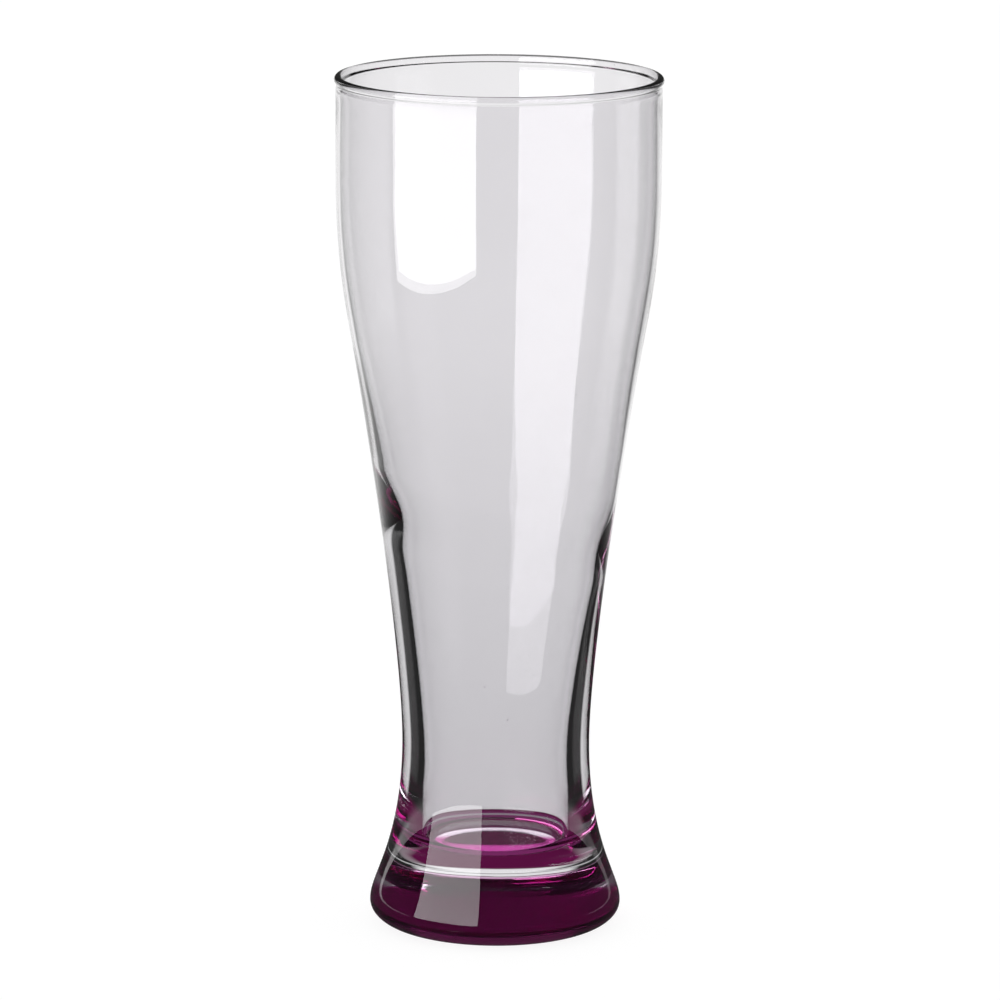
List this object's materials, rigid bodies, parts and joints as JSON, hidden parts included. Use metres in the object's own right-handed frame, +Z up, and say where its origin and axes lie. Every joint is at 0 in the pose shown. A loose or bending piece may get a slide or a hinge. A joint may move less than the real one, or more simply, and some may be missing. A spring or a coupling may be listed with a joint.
{
  "type": "pilsner glass",
  "caption": "Tall clear beer glass with a wide straight rim band, a taper to a slim thick-walled stem, and a flared heavy foot coloured purple underneath.",
  "frame": {"origin": "centre of the ring that the foot stands on, at table height", "axes": "+Z up along the glass's axis; in the picture +X is to the right and +Y points away from the camera"},
  "size_m": [0.088, 0.088, 0.232],
  "materials": {
    "clear_glass": "fire-polished, clear, with a faint grey cast",
    "purple_lacquer": "translucent sprayed lacquer, gloss"
  },
  "bodies": {
    "root": {"glass_body": "clear_glass", "colour_coat": "purple_lacquer"}
  },
  "joints": []
}
